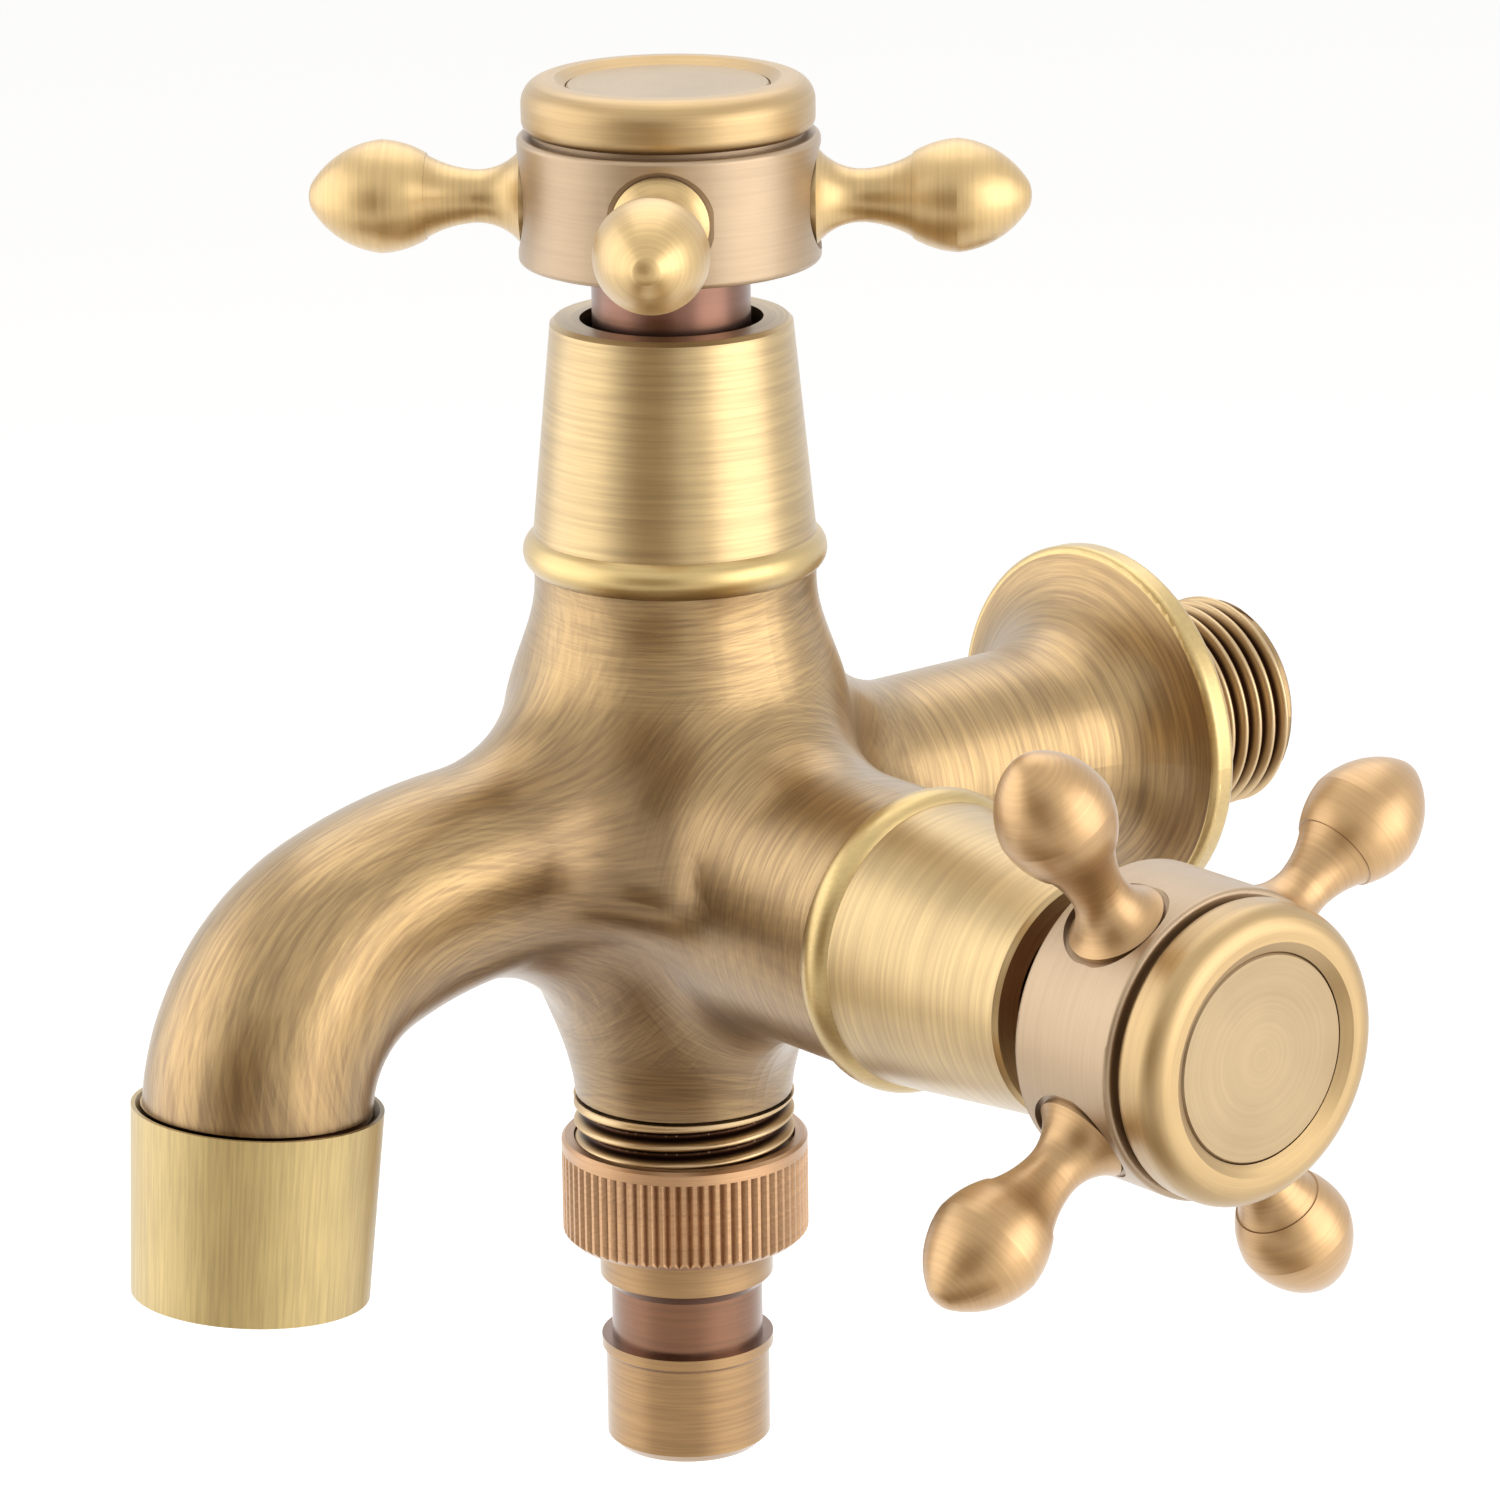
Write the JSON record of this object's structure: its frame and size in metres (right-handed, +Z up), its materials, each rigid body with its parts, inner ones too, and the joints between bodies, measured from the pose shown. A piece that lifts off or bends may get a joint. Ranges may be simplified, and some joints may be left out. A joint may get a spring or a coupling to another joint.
{
  "type": "cross handle tap",
  "caption": "Wall-mounted brass garden tap with a curved spout and a threaded hose outlet, each opened by its own quarter-turn cross handle.",
  "frame": {"origin": "centre of the wall flange's back face, on the inlet thread's axis", "axes": "+Y into the wall along the inlet, -Y out to the spout, +Z up, +X along the side valve to its handle"},
  "size_m": [0.1041, 0.1321, 0.1324],
  "materials": {
    "body_brass": "brushed, aged to antique brass, lacquered",
    "bonnet_brass": "turned and brushed round, antique brass",
    "hub_brass": "brushed antique brass, slightly pink",
    "arm_brass": "polished antique brass",
    "cap_brass": "turned antique brass",
    "index_brass": "spun pale antique brass",
    "outlet_brass": "brushed along, antique brass",
    "connector_brass": "turned and knurled, reddish antique brass",
    "raw_brass": "machined bright brass",
    "black_rubber": "moulded nitrile rubber",
    "white_ceramic": "lapped alumina ceramic",
    "stainless_steel": "turned stainless steel",
    "grey_plastic": "moulded acetal plastic"
  },
  "bodies": {
    "tap": {"tap_body": "body_brass", "outlet_sleeve": "outlet_brass", "outlet_washer": "black_rubber", "aerator_core": "grey_plastic", "aerator_screen": "grey_plastic", "upper_bonnet": "bonnet_brass", "upper_cartridge": "raw_brass", "upper_cartridge_gasket": "black_rubber", "upper_seat_seal": "black_rubber", "upper_fixed_disc": "white_ceramic", "side_bonnet": "bonnet_brass", "side_cartridge": "raw_brass", "side_cartridge_gasket": "black_rubber", "side_seat_seal": "black_rubber", "side_fixed_disc": "white_ceramic"},
    "upper_handle": {"upper_handle_hub": "hub_brass", "upper_handle_arm_1": "arm_brass", "upper_handle_arm_2": "arm_brass", "upper_handle_arm_3": "arm_brass", "upper_handle_arm_4": "arm_brass", "upper_handle_cap": "cap_brass", "upper_index_disc": "index_brass", "upper_handle_screw": "stainless_steel", "upper_spindle": "raw_brass", "upper_spindle_ring": "black_rubber", "upper_spindle_clip": "stainless_steel", "upper_moving_disc": "white_ceramic"},
    "side_handle": {"side_handle_hub": "hub_brass", "side_handle_arm_1": "arm_brass", "side_handle_arm_2": "arm_brass", "side_handle_arm_3": "arm_brass", "side_handle_arm_4": "arm_brass", "side_handle_cap": "cap_brass", "side_index_disc": "index_brass", "side_handle_screw": "stainless_steel", "side_spindle": "raw_brass", "side_spindle_ring": "black_rubber", "side_spindle_clip": "stainless_steel", "side_moving_disc": "white_ceramic"},
    "hose_connector": {"hose_tail": "connector_brass", "hose_washer": "black_rubber"},
    "coupling_nut": {"coupling_nut": "connector_brass"}
  },
  "joints": [
    {"name": "upper_handle_turn", "type": "hinge", "parent": "tap", "child": "upper_handle", "pos_m": [0, -0.0543, 0.0296], "axis": [0, 0, 1], "range_deg": [0, 90]},
    {"name": "side_handle_turn", "type": "hinge", "parent": "tap", "child": "side_handle", "pos_m": [0.0367, -0.0543, -0.0019], "axis": [1, 0, 0], "range_deg": [0, 90]},
    {"name": "connector_slide", "type": "slide", "parent": "tap", "child": "hose_connector", "axis": [0, 0, -1], "range_m": [0, 0.00726]},
    {"name": "nut_turn", "type": "hinge", "parent": "hose_connector", "child": "coupling_nut", "pos_m": [0, -0.0543, -0.034], "axis": [0, 0, -1], "range_deg": [0, 1440]}
  ],
  "couplings": [
    {"joint": "nut_turn", "follows": "connector_slide", "rad_per_m": 3463.7}
  ]
}
